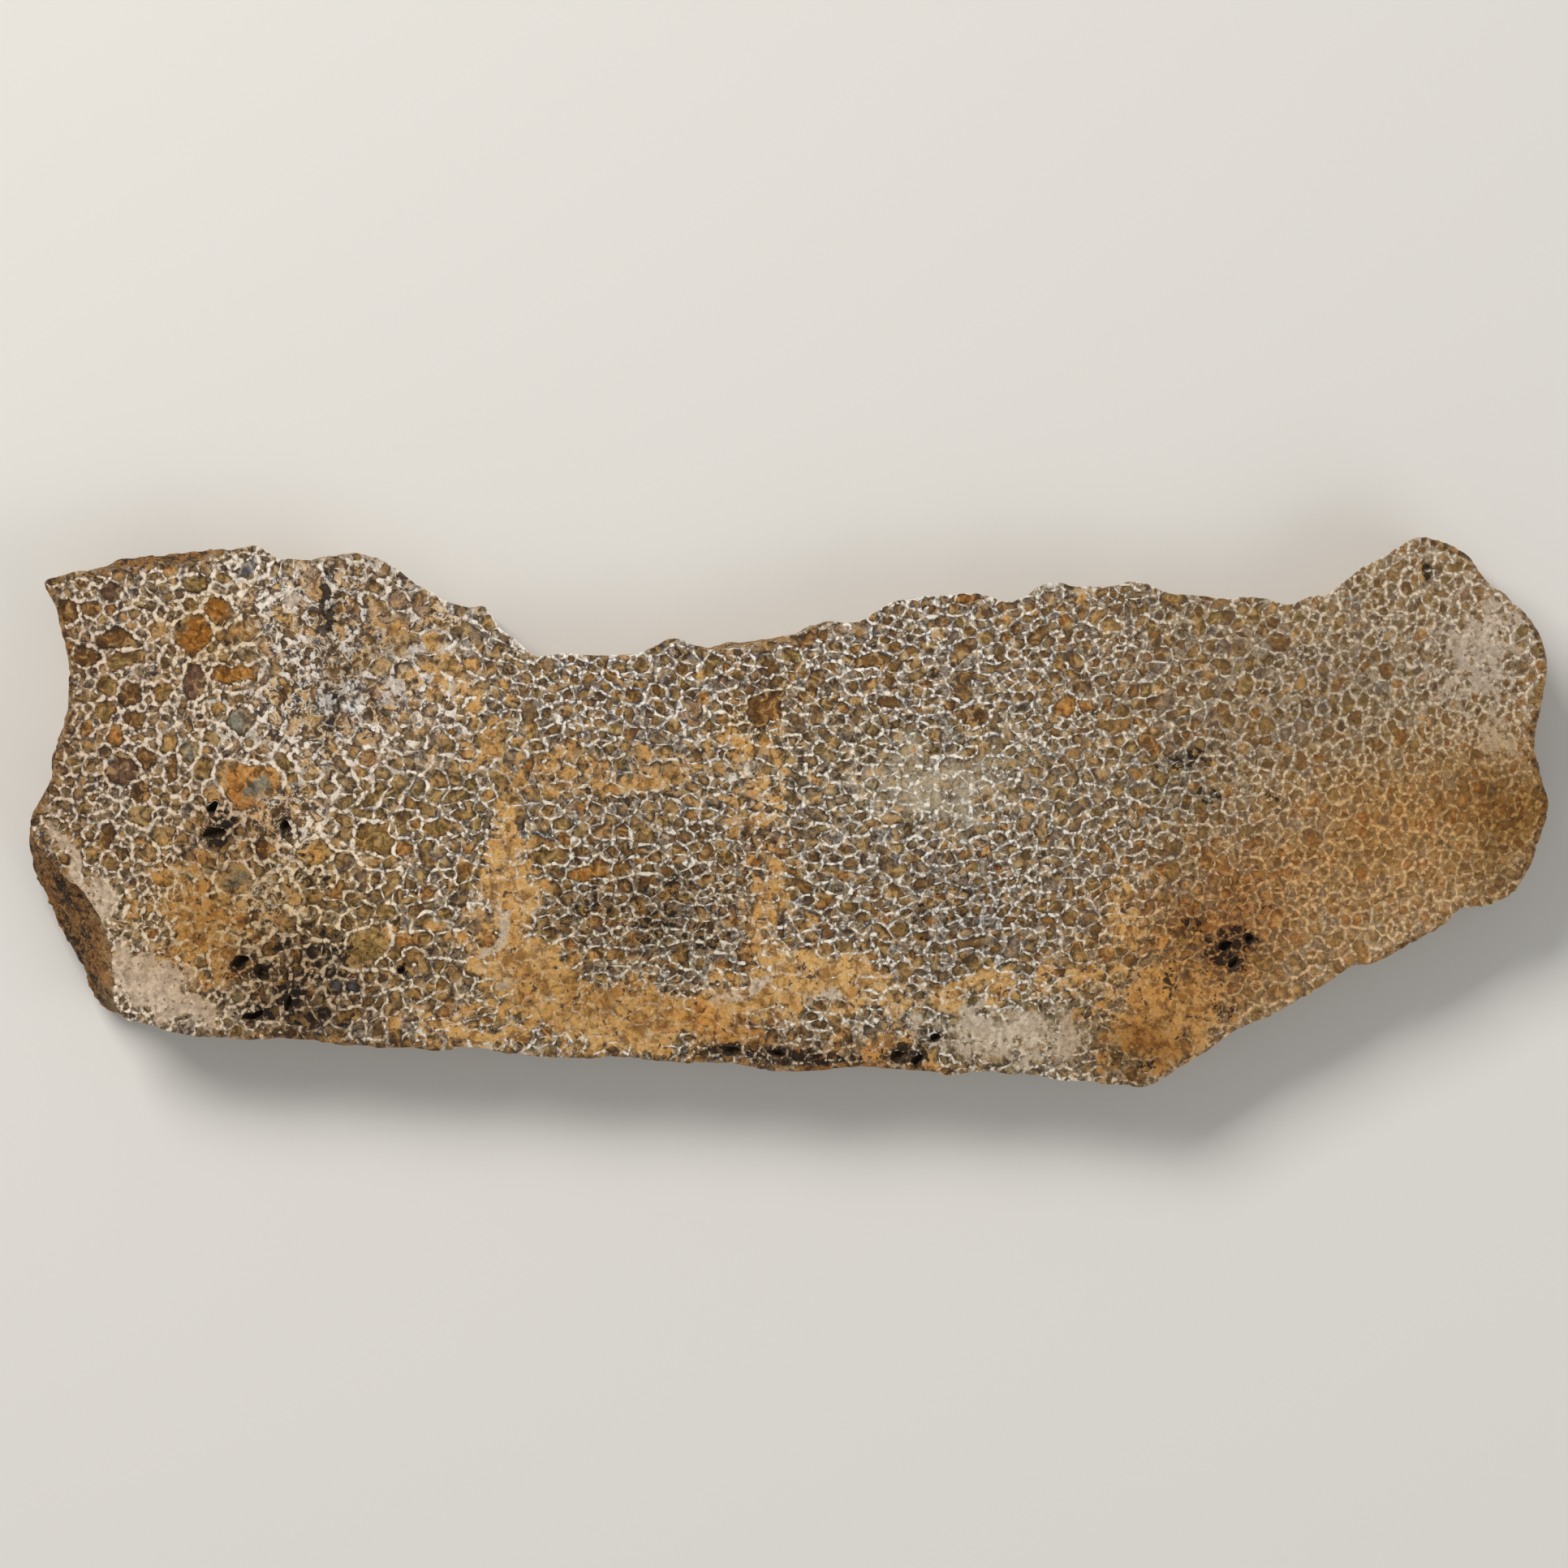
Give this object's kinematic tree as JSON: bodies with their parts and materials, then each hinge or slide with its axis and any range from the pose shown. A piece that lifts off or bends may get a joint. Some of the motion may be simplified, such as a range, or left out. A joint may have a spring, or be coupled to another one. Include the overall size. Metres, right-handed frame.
{
  "type": "fossil dinosaur bone slab",
  "caption": "Flat slab of silicified dinosaur bone with a polished face, a sawn back and a rough broken edge, lying on its back.",
  "frame": {"origin": "middle of the bounding box, on the sawn back", "axes": "+X along the slab towards its narrower end, +Y across it towards its dipped edge, +Z out of the polished face"},
  "size_m": [0.2, 0.0722, 0.012],
  "materials": {
    "fossil_bone": "polished face with pale bone walls round brown and ochre cells, rough brown edge, sawn back"
  },
  "bodies": {
    "root": {"bone_slab": "fossil_bone"}
  },
  "joints": []
}
